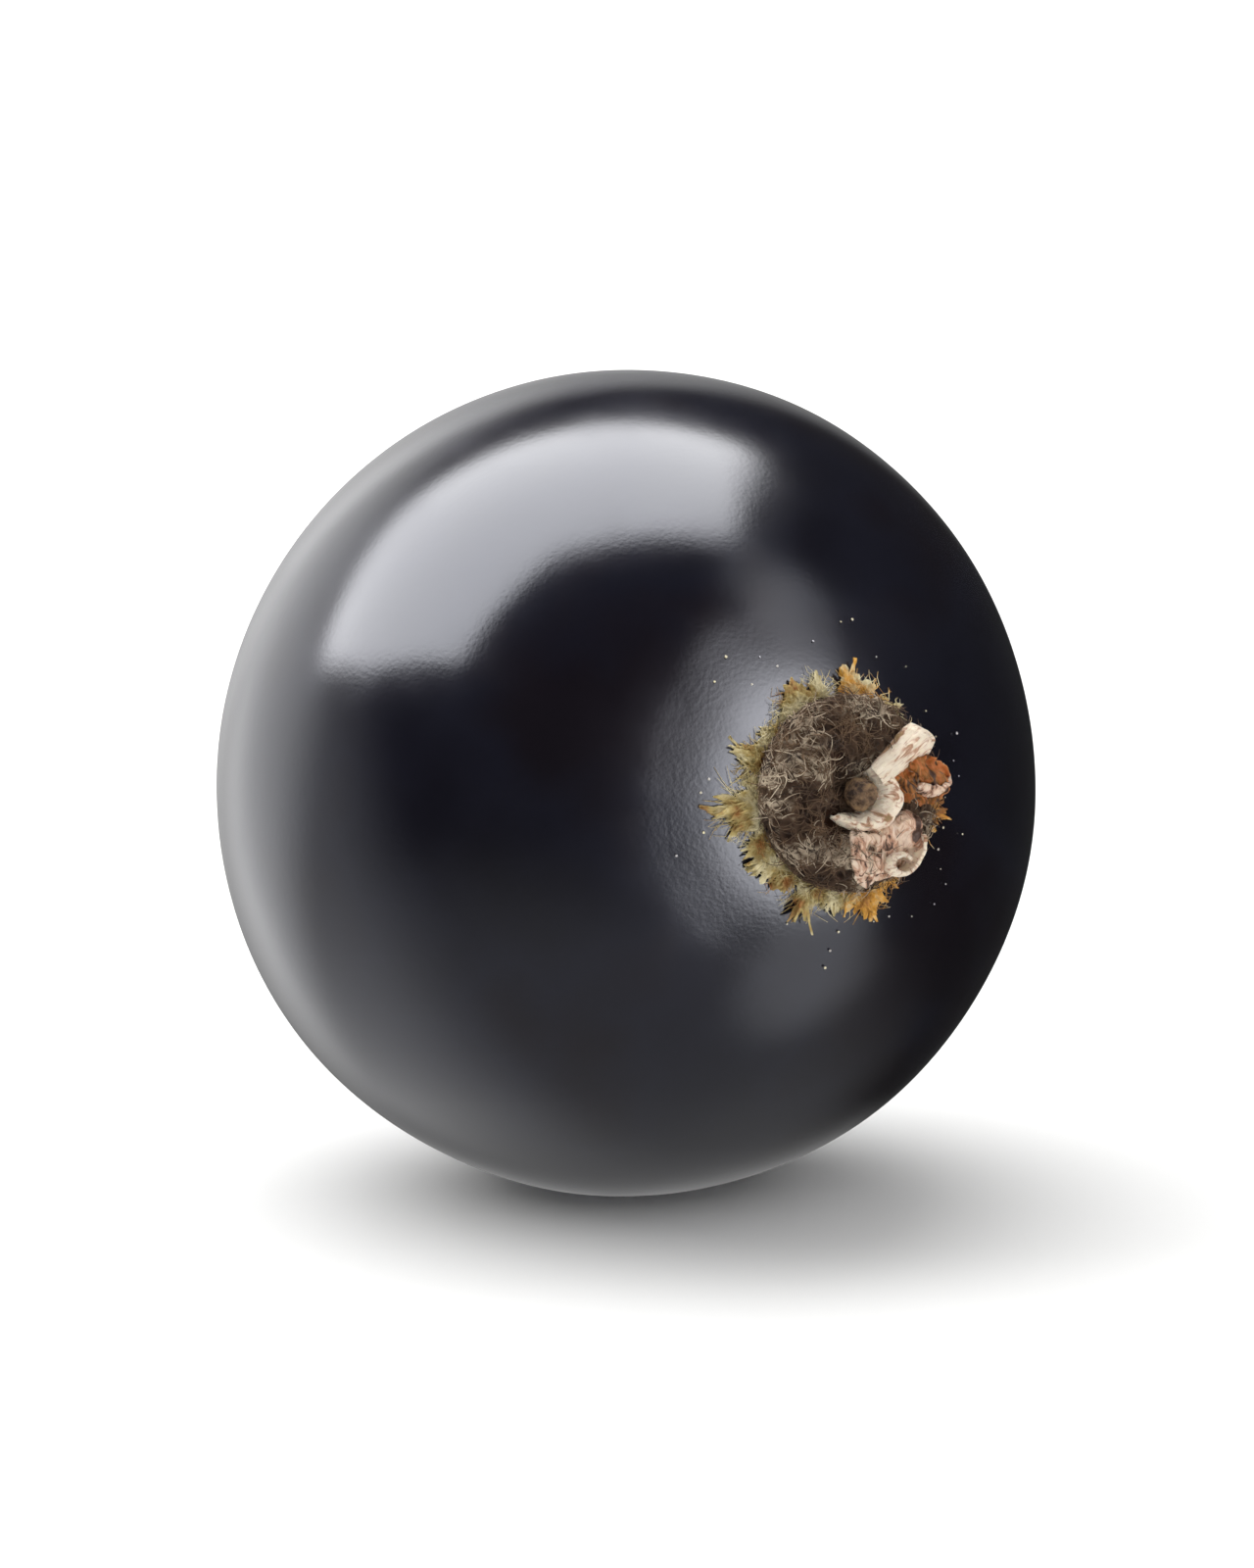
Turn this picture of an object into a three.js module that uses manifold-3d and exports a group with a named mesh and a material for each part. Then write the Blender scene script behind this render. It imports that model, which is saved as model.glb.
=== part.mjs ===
// One blackcurrant, the fruit of Ribes nigrum, picked off its string and lying on its side.
//
// Millimetres, +Z up. The origin is the middle of the small flat on which the skin rests.
// The withered flower faces -Y and a little upwards, and the stalk scar is at the back.
//
// The berry and its flower share one frame, the fruit frame: its origin is the middle of the
// berry, +Y runs out through the flower, +X is to the right of someone who looks at the flower,
// and -Z is that person's up.

import * as THREE from "three";
import Module from "manifold-3d";
import { mergeVertices } from "three/addons/utils/BufferGeometryUtils.js";

const { degToRad, smoothstep } = THREE.MathUtils;

// ---------------------------------------------------------------- driving dimensions
const BERRY_WIDTH = 12.3; // square to the fruit's own axis
const BERRY_LENGTH = 11.9; // along that axis, before the neck and the dimple are added
const FLOWER_LIFT = degToRad(10); // how far the flower end points above the horizontal
const REST_RADIUS = 1.3; // of the flat that the soft skin makes under the berry's weight

const NECK_RISE = 0.22; // the skin swells a little towards the flower
const NECK_ANGLE = degToRad(28); // from the axis, where that swelling starts
const SCAR_DEPTH = 0.3; // dimple where the stalk came away
const SCAR_ANGLE = degToRad(13); // from the axis, where the dimple starts

const CUP_RADIUS = 1.4; // felted foot of the withered flower
const CUP_HEIGHT = 0.52; // above the skin at the axis
const CUP_HOLLOW = 0.32; // how far the middle of the foot lies below its crest
const CUP_UNEVEN = 0.07; // how far the crest rises and sinks on its way round
const COLLAR_INNER = 1.46; // torn golden scales that lie round the foot
const COLLAR_REACH = 0.72; // longest scale, from the collar's inner edge
const COLLAR_THICKNESS = 0.15; // next to the foot; it thins to nothing outwards
const COLLAR_SCALES = 17;
const STYLE_RADIUS = 0.21; // round stump of the style
const CREST_HEIGHT = 0.46; // torn wall round the style
const CREST_FROM = degToRad(-150); // where it starts, counted from the right towards up
const CREST_TO = degToRad(75);
const SHEET_THICKNESS = 0.08; // of a withered sepal

const GAP = 0.03; // left between neighbouring pieces

// Gentle flats and swells of a grown fruit, each towards a direction in the fruit frame.
const SWELLS = [
  { toward: [-0.75, -0.45, 0.45], rise: 0.05, spread: 0.5 },
  { toward: [0.55, 0.1, -0.83], rise: 0.05, spread: 0.6 },
  { toward: [0.8, -0.45, 0.4], rise: -0.06, spread: 0.5 },
  { toward: [0.1, -0.75, 0.65], rise: 0.05, spread: 0.5 },
].map(({ toward, rise, spread }) => ({
  toward: new THREE.Vector3(...toward).normalize(),
  rise,
  spread,
}));

const BERRY_SEGMENTS = 64; // round the axis
const BERRY_RINGS = 32; // from flower to stalk

const COLOURS = {
  skin: 0x15141a,
  felt: 0x6a5a4a,
  scales: 0xb98f4e,
  sepal: 0xdcc6b0,
  petal: 0xa4603a,
  style: 0x8a6f52,
};

// ---------------------------------------------------------------- solids
const wasm = await Module();
wasm.setup();

// A closed geometry as a manifold-3d solid.
function toSolid(geometry) {
  const bare = new THREE.BufferGeometry();
  const source = geometry.index ? geometry.toNonIndexed() : geometry;
  bare.setAttribute("position", source.getAttribute("position"));
  const merged = mergeVertices(bare, 1e-4);
  return new wasm.Manifold(
    new wasm.Mesh({
      numProp: 3,
      vertProperties: new Float32Array(merged.getAttribute("position").array),
      triVerts: new Uint32Array(merged.index.array),
    }),
  );
}

// A manifold-3d solid as a geometry.
function toGeometry(solid) {
  const { vertProperties, triVerts, numProp } = solid.getMesh();
  const positions = [];
  for (let i = 0; i < vertProperties.length; i += numProp) {
    positions.push(...vertProperties.subarray(i, i + 3));
  }
  const geometry = new THREE.BufferGeometry();
  geometry.setAttribute("position", new THREE.Float32BufferAttribute(positions, 3));
  geometry.setIndex(new THREE.BufferAttribute(new Uint32Array(triVerts), 1));
  geometry.computeVertexNormals();
  return geometry;
}

// Moves every vertex of a geometry to where place(vertex) says.
function reshape(geometry, place) {
  const position = geometry.getAttribute("position");
  const vertex = new THREE.Vector3();
  for (let i = 0; i < position.count; i += 1) {
    vertex.fromBufferAttribute(position, i);
    const { x, y, z } = place(vertex);
    position.setXYZ(i, x, y, z);
  }
  return geometry;
}

// A lathe about +Y, round from points given as [distance from the axis, height].
function lathe(outline, segments) {
  const points = outline.map(([x, y]) => new THREE.Vector2(x, y));
  return new THREE.LatheGeometry(points, segments);
}

function named(name, geometry, color, roughness) {
  const material = new THREE.MeshStandardMaterial({ color, roughness, metalness: 0 });
  const mesh = new THREE.Mesh(geometry, material);
  mesh.name = name;
  return mesh;
}

// ---------------------------------------------------------------- the berry's form
// Half of a raised cosine: 1 at zero, falling smoothly to 0 at reach.
function hump(distance, reach) {
  return distance < reach ? 0.5 + 0.5 * Math.cos((Math.PI * distance) / reach) : 0;
}

// Distance from the middle to the round skin at an angle from the flower axis.
function roundSkin(angle) {
  const across = Math.sin(angle) / (BERRY_WIDTH / 2);
  const along = Math.cos(angle) / (BERRY_LENGTH / 2);
  const neck = NECK_RISE * hump(angle, NECK_ANGLE);
  const scar = SCAR_DEPTH * hump(Math.PI - angle, SCAR_ANGLE);
  return 1 / Math.hypot(across, along) + neck - scar;
}

// What the flats and swells add there. They fade out towards the flower, which sits on round skin.
function swelling(direction) {
  const angle = Math.acos(THREE.MathUtils.clamp(direction.y, -1, 1));
  const fade = smoothstep(angle, degToRad(25), degToRad(50));
  const total = SWELLS.reduce((sum, { toward, rise, spread }) => {
    const away = toward.angleTo(direction) / spread;
    return sum + rise * Math.exp(-away * away);
  }, 0);
  return fade * total;
}

// Height of the skin above the fruit frame's origin, at a small distance from the flower axis.
function skinHeight(distance) {
  const angle = Math.asin(distance / (BERRY_LENGTH / 2 + NECK_RISE));
  return roundSkin(angle) * Math.cos(angle);
}

function berryGeometry(centreHeight) {
  const outline = [];
  for (let ring = BERRY_RINGS; ring >= 0; ring -= 1) {
    const angle = (Math.PI * ring) / BERRY_RINGS;
    const onAxis = ring === 0 || ring === BERRY_RINGS;
    outline.push([
      onAxis ? 0 : roundSkin(angle) * Math.sin(angle),
      roundSkin(angle) * Math.cos(angle),
    ]);
  }
  const grown = reshape(lathe(outline, BERRY_SEGMENTS), (vertex) => {
    const direction = vertex.clone().normalize();
    return vertex.addScaledVector(direction, swelling(direction));
  });
  // The flat is cut level with the surface that the berry lies on.
  grown.rotateX(Math.PI - FLOWER_LIFT).translate(0, 0, centreHeight);
  const surface = new THREE.BoxGeometry(BERRY_WIDTH, BERRY_WIDTH, BERRY_WIDTH);
  surface.translate(0, 0, -BERRY_WIDTH / 2);
  return toGeometry(toSolid(grown).subtract(toSolid(surface)));
}

// ---------------------------------------------------------------- the withered flower
// Cross-section of the felted foot: a low cushion with a hollow middle. extra grows it all round.
function cupOutline(extra) {
  const top = skinHeight(0) + extra;
  const under = (distance) => [distance, skinHeight(distance) + GAP - extra];
  const crest = top + CUP_HEIGHT;
  return [
    [0, skinHeight(0) + GAP - extra],
    under(CUP_RADIUS * 0.35),
    under(CUP_RADIUS * 0.7),
    under(CUP_RADIUS + extra),
    [CUP_RADIUS * 1.02 + extra, top + CUP_HEIGHT * 0.12],
    [CUP_RADIUS * 0.97 + extra, top + CUP_HEIGHT * 0.42],
    [CUP_RADIUS * 0.84 + extra, top + CUP_HEIGHT * 0.76],
    [CUP_RADIUS * 0.66, crest],
    [CUP_RADIUS * 0.48, crest - CUP_HOLLOW * 0.3],
    [CUP_RADIUS * 0.3, crest - CUP_HOLLOW * 0.8],
    [0, crest - CUP_HOLLOW],
  ];
}

// The felt is uneven: the crest rises and sinks a little on its way round.
function cupGeometry(extra = 0) {
  const base = skinHeight(0);
  return reshape(lathe(cupOutline(extra), BERRY_SEGMENTS), (vertex) => {
    const round = Math.atan2(vertex.z, vertex.x);
    const distance = Math.hypot(vertex.x, vertex.z);
    const share = smoothstep(vertex.y, base + 0.1, base + CUP_HEIGHT) * (distance / CUP_RADIUS);
    vertex.y += CUP_UNEVEN * share * (Math.sin(2 * round + 0.8) + 0.6 * Math.sin(5 * round));
    return vertex;
  });
}

// Torn scales fan out from under the foot and lie along the skin. Each is pointed, and their
// lengths vary on the way round.
function collarGeometry() {
  const profile = [
    [COLLAR_INNER, 0],
    [COLLAR_INNER + COLLAR_REACH, 0],
    [COLLAR_INNER + COLLAR_REACH * 0.5, COLLAR_THICKNESS * 0.5],
    [COLLAR_INNER, COLLAR_THICKNESS],
    [COLLAR_INNER, 0],
  ];
  return reshape(lathe(profile, COLLAR_SCALES * 6), (vertex) => {
    const round = Math.atan2(vertex.z, vertex.x);
    const distance = Math.hypot(vertex.x, vertex.z);
    const turn = (COLLAR_SCALES * round) / (2 * Math.PI);
    const point = 1 - Math.abs(2 * (turn - Math.floor(turn)) - 1);
    const length = 0.3 + point * (0.5 + 0.2 * Math.sin(3 * round + 1));
    const moved = COLLAR_INNER + (distance - COLLAR_INNER) * length;
    vertex.x *= moved / distance;
    vertex.z *= moved / distance;
    vertex.y += skinHeight(moved) + GAP;
    return vertex;
  });
}

// A withered sheet: a flat blade of the given length and width, narrowed towards its tip,
// bent along its length through the angle curl, cupped across its width, and creased.
function sheetGeometry({ length, width, curl, cup, tip, crease }) {
  const blade = new THREE.BoxGeometry(width, SHEET_THICKNESS, length, 6, 1, 12);
  return reshape(blade, ({ x, y, z }) => {
    const along = z / length + 0.5; // 0 at the base, 1 at the tip
    const across = (2 * x) / width; // -1 to 1
    const bend = curl * along;
    const lift = y + cup * across ** 2 + crease * Math.sin(7 * along + 3 * across) * along;
    return new THREE.Vector3(
      x * (1 - (1 - tip) * along ** 2),
      (length * (1 - Math.cos(bend))) / curl + lift * Math.cos(bend),
      (length * Math.sin(bend)) / curl - lift * Math.sin(bend),
    );
  });
}

// The sheets are set on the flower by where their base is, given as the flower is looked at
// (right, up) with a height above the skin, by the way that they point, and by their slope.
function setOnFlower(geometry, { right, up, height, heading, slope, roll }) {
  geometry.rotateZ(roll);
  geometry.rotateX(-slope);
  geometry.rotateY(Math.PI / 2 + heading);
  return geometry.translate(right, skinHeight(0) + height, -up);
}

// What is buried in the felt, or runs into a piece set before it, is trimmed off.
function trimmed(geometry, ...neighbours) {
  const cut = neighbours.reduce((solid, other) => solid.subtract(other), toSolid(geometry));
  const largest = cut.decompose().sort((a, b) => b.volume() - a.volume())[0];
  return toGeometry(largest);
}

// The style's stump: a short neck out of the hollow, with a round end.
function styleGeometry() {
  const base = skinHeight(0) + CUP_HEIGHT - CUP_HOLLOW + GAP;
  const outline = [
    [0, base],
    [STYLE_RADIUS * 0.6, base],
    [STYLE_RADIUS * 0.55, base + STYLE_RADIUS * 0.5],
  ];
  const middle = base + STYLE_RADIUS * 1.3;
  for (let step = -2; step <= 4; step += 1) {
    const angle = (Math.PI / 8) * step;
    const onAxis = step === 4;
    outline.push([
      onAxis ? 0 : STYLE_RADIUS * Math.cos(angle),
      middle + STYLE_RADIUS * Math.sin(angle),
    ]);
  }
  return lathe(outline, 20);
}

// The torn wall that still stands round the style, on the side where the sepals are left.
function crestGeometry() {
  const wall = new THREE.BoxGeometry(1, SHEET_THICKNESS, 1, 22, 1, 4);
  const foot = skinHeight(0) + CUP_HEIGHT - CUP_HOLLOW;
  const inner = STYLE_RADIUS + SHEET_THICKNESS + GAP;
  return reshape(wall, ({ x, y, z }) => {
    const along = x + 0.5; // 0 at one end of the wall, 1 at the other
    const rise = z + 0.5; // 0 at its foot, 1 at its torn edge
    const round = CREST_FROM + (CREST_TO - CREST_FROM) * along;
    const flare = 0.2 * rise ** 2 + 0.03 * Math.sin(9 * round) * rise;
    const radius = inner + flare - y;
    const height = foot + CREST_HEIGHT * rise * (0.45 + 0.55 * Math.sin(Math.PI * along));
    return new THREE.Vector3(radius * Math.cos(round), height, -radius * Math.sin(round));
  });
}

const SHEETS = {
  sepal_lower: {
    form: { length: 0.95, width: 1.05, curl: 1.2, cup: 0.1, tip: 0.8, crease: 0.03 },
    place: { right: 0.14, up: -0.44, height: 0.52, heading: -1.3, slope: 0.1, roll: 0.05 },
  },
  sepal_upper: {
    form: { length: 1.05, width: 0.42, curl: -0.6, cup: 0.05, tip: 0.8, crease: 0.02 },
    place: { right: 0.3, up: 0.24, height: 0.58, heading: 0.62, slope: 0.3, roll: 0 },
  },
  petal_rust: {
    form: { length: 1.05, width: 0.55, curl: 1.2, cup: 0.1, tip: 0.6, crease: 0.03 },
    place: { right: 0.56, up: 0.08, height: 0.54, heading: 0.04, slope: 0.4, roll: -0.2 },
  },
};

function flowerMeshes() {
  const room = [toSolid(cupGeometry(GAP))];
  // Each torn piece is trimmed by the foot and by those set before it, which it lies against.
  const torn = (name, geometry, color) => {
    const kept = trimmed(geometry, ...room);
    room.push(toSolid(kept));
    return named(name, kept, color, 0.75);
  };
  const sheet = (name, color) => {
    const { form, place } = SHEETS[name];
    return torn(name, setOnFlower(sheetGeometry(form), place), color);
  };
  return [
    named("flower_cup", cupGeometry(), COLOURS.felt, 0.95),
    named("scaly_collar", collarGeometry(), COLOURS.scales, 0.8),
    named("style_stump", styleGeometry(), COLOURS.style, 0.85),
    torn("sepal_crest", crestGeometry(), COLOURS.sepal),
    sheet("sepal_lower", COLOURS.sepal),
    sheet("sepal_upper", COLOURS.sepal),
    sheet("petal_rust", COLOURS.petal),
  ];
}

// ---------------------------------------------------------------- assembly
// The middle of the berry is as high as leaves a flat of REST_RADIUS under it.
const skinBelow = roundSkin(Math.PI / 2 + FLOWER_LIFT);
const centreHeight = Math.sqrt(skinBelow ** 2 - REST_RADIUS ** 2);

const blackcurrant = new THREE.Group();
blackcurrant.add(named("berry", berryGeometry(centreHeight), COLOURS.skin, 0.25));

const flower = new THREE.Group();
flower.rotation.x = Math.PI - FLOWER_LIFT;
flower.position.z = centreHeight;
flower.add(...flowerMeshes());
blackcurrant.add(flower);

export default blackcurrant;
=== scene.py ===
"""One ripe blackcurrant with its withered flower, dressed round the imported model.

The berry lies on its side on a pale floor. Pieces are shaped in the fruit frame, in
millimetres: its origin is the middle of the berry, +Y runs out through the flower, +X is to
the right of someone who looks at the flower, and -Z is that person's up. Fruit.place then
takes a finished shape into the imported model's frame, in metres.
"""

import math
import random

import bmesh
import bpy
from bpy.props import FloatProperty, FloatVectorProperty, IntProperty, PointerProperty
from mathutils import Matrix, Vector, noise


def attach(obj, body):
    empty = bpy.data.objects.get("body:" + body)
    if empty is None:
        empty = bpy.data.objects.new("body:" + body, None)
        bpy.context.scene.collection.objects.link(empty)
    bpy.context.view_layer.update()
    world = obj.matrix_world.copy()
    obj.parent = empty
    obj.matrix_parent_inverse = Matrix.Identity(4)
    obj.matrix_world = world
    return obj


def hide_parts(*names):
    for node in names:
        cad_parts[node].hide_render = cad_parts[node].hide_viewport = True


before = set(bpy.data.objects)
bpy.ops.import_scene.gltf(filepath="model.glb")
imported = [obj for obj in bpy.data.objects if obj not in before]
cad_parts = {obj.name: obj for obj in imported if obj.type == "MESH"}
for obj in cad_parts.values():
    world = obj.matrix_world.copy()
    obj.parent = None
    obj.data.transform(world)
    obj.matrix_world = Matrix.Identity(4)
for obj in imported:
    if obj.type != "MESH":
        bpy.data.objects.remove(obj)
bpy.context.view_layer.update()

bl_info = {
    "name": "Blackcurrant Berry",
    "version": (1, 0, 0),
    "blender": (4, 5, 0),
    "location": "View3D > Sidebar > Blackcurrant",
    "description": "Builds a ripe blackcurrant with its withered flower on a pale floor",
    "category": "Object",
}

MM = 0.001
BODY = "root"
# Seeds of the random draws of each group of pieces.
FELT_SEED = 11
COLLAR_SEED = 23
GLAND_SEED = 5


# ------------------------------------------------------------------ small helpers
def linear(hex_colour):
    """The linear RGBA of an sRGB colour such as "#6a5a4a"."""
    values = [int(hex_colour[i : i + 2], 16) / 255 for i in (1, 3, 5)]
    return [v / 12.92 if v <= 0.04045 else ((v + 0.055) / 1.055) ** 2.4 for v in values] + [1.0]


def smoothstep(value, low, high):
    """0 below low, 1 above high, and a smooth climb between them."""
    t = min(max((value - low) / (high - low), 0.0), 1.0)
    return t * t * (3 - 2 * t)


def hump(distance, reach):
    """Half of a raised cosine: 1 at zero, falling smoothly to 0 at reach."""
    return 0.5 + 0.5 * math.cos(math.pi * distance / reach) if distance < reach else 0.0


def ripple(point, size, seed=0.0):
    """Smooth noise from about -1 to 1 whose lumps are about size across."""
    return noise.noise(Vector(point) / size + Vector((seed, seed * 1.7, -seed)))


def turned(round_angle):
    """The direction across the flower at an angle counted from the right towards up."""
    return Vector((math.cos(round_angle), 0.0, -math.sin(round_angle)))


# ------------------------------------------------------------------ sizes and colours
def length_property(name, description, size_mm):
    """A length that the sidebar shows, stored in metres."""
    return FloatProperty(
        name=name, description=description, default=size_mm * MM, unit="LENGTH")


def colour_property(name, description, hex_colour):
    """A colour that the sidebar shows, stored as linear RGBA."""
    return FloatVectorProperty(
        name=name, description=description, subtype="COLOR", size=4, min=0.0, max=1.0,
        default=linear(hex_colour))


class FruitSizes(bpy.types.PropertyGroup):
    """Sizes of the berry itself."""

    width: length_property("Width", "Across the berry, square to its own axis", 12.3)
    length: length_property("Length", "Along the berry's axis, without neck and dimple", 11.9)
    flower_lift: FloatProperty(
        name="Flower lift", description="How far the flower end points above the horizontal",
        default=math.radians(10), subtype="ANGLE")
    rest_radius: length_property(
        "Rest radius", "Radius of the flat that the berry's weight makes", 1.3)
    neck_rise: length_property("Neck rise", "How far the skin swells towards the flower", 0.22)
    scar_depth: length_property("Scar depth", "Depth of the dimple where the stalk came away", 0.3)
    undulation: length_property("Undulation", "Height of the skin's long, low waves", 0.03)


class FlowerSizes(bpy.types.PropertyGroup):
    """Sizes of the withered flower."""

    cup_radius: length_property("Foot radius", "Radius of the felted foot", 1.4)
    cup_height: length_property("Foot height", "How far the foot stands above the skin", 0.52)
    cup_hollow: length_property("Foot hollow", "How far its middle lies below its crest", 0.32)
    hair_width: length_property("Hair width", "Thickness of a felted hair at its root", 0.022)
    hairs: IntProperty(
        name="Felt hairs", description="How many hairs cover the foot", default=3400)
    tuft_hairs: IntProperty(
        name="Tuft hairs", description="How many golden hairs lie round the foot", default=1500)
    scales: IntProperty(
        name="Golden scales", description="How many torn scales lie round the foot", default=320)
    glands: IntProperty(
        name="Resin glands", description="How many resin beads lie near the flower", default=34)
    sheet_thickness: length_property("Sepal thickness", "Thickness of a withered sepal", 0.05)


class FruitColours(bpy.types.PropertyGroup):
    """Colours of every finish."""

    skin: colour_property("Skin", "Blue-black of the ripe skin", "#0e0d14")
    skin_warm: colour_property("Skin, warm", "Burgundy where the skin is thinnest", "#100c12")
    bloom: colour_property("Bloom", "Grey-blue of the wax on the skin", "#13131c")
    wax_tint: colour_property("Wax tint", "Cool tint of the wax's shine", "#f4f6ff")
    # felt_dark is painted shade in the felt's hollows; on the hairs and the style it is their own
    # dark tone.
    felt_dark: colour_property("Felt, dark", "Hollows of the felted foot", "#241913")
    felt: colour_property("Felt", "Brown ground of the felted foot", "#4d3c30")
    hair_brown: colour_property("Hair, brown", "Darker felt hairs", "#69533f")
    hair_pale: colour_property("Hair, pale", "Paler felt hairs", "#c8b8a1")
    straw: colour_property("Straw", "Palest tips of the golden scales", "#e2d7b0")
    gold: colour_property("Gold", "Golden scales and hairs", "#d09a3c")
    ochre: colour_property("Ochre", "Darkest golden scales", "#8a5a28")
    olive: colour_property("Olive", "Duller, greener scales", "#b09c62")
    cream: colour_property("Cream", "Withered sepals", "#f2e2cd")
    petal_pink: colour_property("Pink", "Sepals that are less bleached", "#e3cbb6")
    # Blush is pink painted shade in the sepals' folds, and pinker tissue on some of their ridges.
    blush_and_painted_shade: colour_property("Blush", "Pinker, thicker sepal tissue", "#b98f76")
    rust: colour_property("Rust", "Withered petals", "#b06a3a")
    # Tan is the style's and the scar's own colour, and painted shade in the creases of the cream
    # sepals.
    tan: colour_property("Tan", "Style and scar tissue", "#8d7350")
    # Umber is painted shade: the felt's deepest hollows, and the creases of the pink sepals and
    # the rust petals.
    painted_shade_umber: colour_property("Umber", "Darkest dry tissue", "#38241a")
    resin: colour_property("Resin", "Beads of resin on the skin", "#a9a6ae")
    floor: colour_property("Floor", "Pale floor", "#f4f4f3")


# ------------------------------------------------------------------ the berry's form
class Fruit:
    """The berry's round form in millimetres, as the sizes in the sidebar give it."""

    NECK_ANGLE = math.radians(28)
    SCAR_ANGLE = math.radians(13)
    # Angles from the flower between which the flats and swells fade in.
    SWELL_FADE = (math.radians(25), math.radians(50))
    # Gentle flats and swells: a direction in the fruit frame, a rise and an angular spread.
    SWELLS = (
        (Vector((-0.75, -0.45, 0.45)), 0.05, 0.5),
        (Vector((0.55, 0.1, -0.83)), 0.05, 0.6),
        (Vector((0.8, -0.45, 0.4)), -0.06, 0.5),
        (Vector((0.1, -0.75, 0.65)), 0.05, 0.5),
    )

    def __init__(self, sizes):
        self.across = sizes.width / MM / 2
        self.along = sizes.length / MM / 2
        self.neck_rise = sizes.neck_rise / MM
        self.scar_depth = sizes.scar_depth / MM
        below = self.round_skin(math.pi / 2 + sizes.flower_lift)
        self.height = math.sqrt(below**2 - (sizes.rest_radius / MM) ** 2)
        self.place = (
            Matrix.Translation((0, 0, self.height * MM))
            @ Matrix.Rotation(math.pi - sizes.flower_lift, 4, "X")
            @ Matrix.Scale(MM, 4)
        )

    def round_skin(self, angle):
        """Distance from the middle to the round skin at an angle from the flower axis."""
        round_form = 1 / math.hypot(math.sin(angle) / self.across, math.cos(angle) / self.along)
        neck = self.neck_rise * hump(angle, self.NECK_ANGLE)
        scar = self.scar_depth * hump(math.pi - angle, self.SCAR_ANGLE)
        return round_form + neck - scar

    def swelling(self, direction):
        """What the flats and swells add. They fade out towards the flower."""
        total = 0.0
        for toward, rise, spread in self.SWELLS:
            away = toward.angle(direction) / spread
            total += rise * math.exp(-away * away)
        angle = math.acos(min(max(direction.y, -1.0), 1.0))
        return total * smoothstep(angle, *self.SWELL_FADE)

    def skin_at(self, distance):
        """Height of the skin above the middle, at a small distance from the flower axis."""
        angle = math.asin(distance / (self.along + self.neck_rise))
        return self.round_skin(angle) * math.cos(angle)

    def on_skin(self, distance, round_angle, lift=0.0):
        """A point at a distance from the flower axis, lifted off the skin."""
        return turned(round_angle) * distance + Vector((0, self.skin_at(distance) + lift, 0))


def settings(context):
    """The berry's form and the sidebar's settings."""
    scene = context.scene
    return Fruit(scene.currant_fruit), scene.currant_flower, scene.currant_colours


# ------------------------------------------------------------------ turning shapes into pieces
def finish_piece(bm, name, fruit, material, slot, *replaced):
    """Makes a piece of a shape in the fruit frame, hangs it on the body, and hides the imported
    parts that it replaces.
    """
    bmesh.ops.recalc_face_normals(bm, faces=bm.faces)
    bm.transform(fruit.place)
    mesh = bpy.data.meshes.new(name)
    bm.to_mesh(mesh)
    bm.free()
    mesh.shade_smooth()
    mesh.materials.append(material)
    piece = bpy.data.objects.new(name, mesh)
    bpy.context.scene.collection.objects.link(piece)
    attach(piece, BODY)
    if replaced:
        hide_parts(*replaced)
    return piece


def mesh_of(thing):
    """A bmesh of an object after its modifiers, and the object is removed."""
    graph = bpy.context.evaluated_depsgraph_get()
    graph.update()
    mesh = bpy.data.meshes.new_from_object(thing.evaluated_get(graph))
    bm = bmesh.new()
    bm.from_mesh(mesh)
    data = thing.data
    bpy.data.objects.remove(thing)
    bpy.data.meshes.remove(mesh)
    if isinstance(data, bpy.types.Mesh):
        bpy.data.meshes.remove(data)
    else:
        bpy.data.curves.remove(data)
    return bm


def subdivided(bm, levels):
    """The shape smoothed by Catmull-Clark subdivision."""
    mesh = bpy.data.meshes.new("cage")
    bm.to_mesh(mesh)
    bm.free()
    cage = bpy.data.objects.new("cage", mesh)
    bpy.context.scene.collection.objects.link(cage)
    modifier = cage.modifiers.new("Subdivision", "SUBSURF")
    modifier.levels = levels
    modifier.render_levels = levels
    return mesh_of(cage)


HAIR_TAPER = 0.75  # share of its width that a hair loses from root to tip


def hairs_from(paths, width):
    """Closed, tapering hairs along lists of points, as one bmesh."""
    curve = bpy.data.curves.new("hairs", "CURVE")
    curve.dimensions = "3D"
    curve.bevel_depth = width / 2
    curve.bevel_resolution = 0
    curve.use_fill_caps = True
    for points in paths:
        spline = curve.splines.new("POLY")
        spline.points.add(len(points) - 1)
        for index, (knot, point) in enumerate(zip(spline.points, points)):
            knot.co = (*point, 1.0)
            knot.radius = 1.0 - HAIR_TAPER * index / (len(points) - 1)
    tangle = bpy.data.objects.new("hairs", curve)
    bpy.context.scene.collection.objects.link(tangle)
    return mesh_of(tangle)


def push_out(bm, amount):
    """Moves every vertex along its normal by amount(position)."""
    bm.normal_update()
    moves = [(v, v.normal * amount(v.co)) for v in bm.verts]
    for vertex, move in moves:
        vertex.co += move


# ------------------------------------------------------------------ materials
# The noise that most patterns start from.
CLOUDY = {"Detail": 3.0, "Roughness": 0.55}


def add(owner, kind, inputs=None, stops=(), **attributes):
    """Adds a shader node to a material or a world: its attributes, its inputs by name, and
    the (place, colour) stops of a colour ramp.

    An input is a plain value, a socket to link, or a node whose first output is linked."""
    tree = owner.node_tree
    node = tree.nodes.new("ShaderNode" + kind)
    for name, value in attributes.items():
        setattr(node, name, value)
    for name, value in (inputs or {}).items():
        if isinstance(value, bpy.types.Node):
            value = value.outputs[0]
        if isinstance(value, bpy.types.NodeSocket):
            tree.links.new(value, node.inputs[name])
        else:
            node.inputs[name].default_value = value
    if stops:
        elements = node.color_ramp.elements
        while len(elements) < len(stops):
            elements.new(1.0)
        for element, (place, colour) in zip(elements, stops):
            element.position = place
            element.color = colour
    return node


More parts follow.
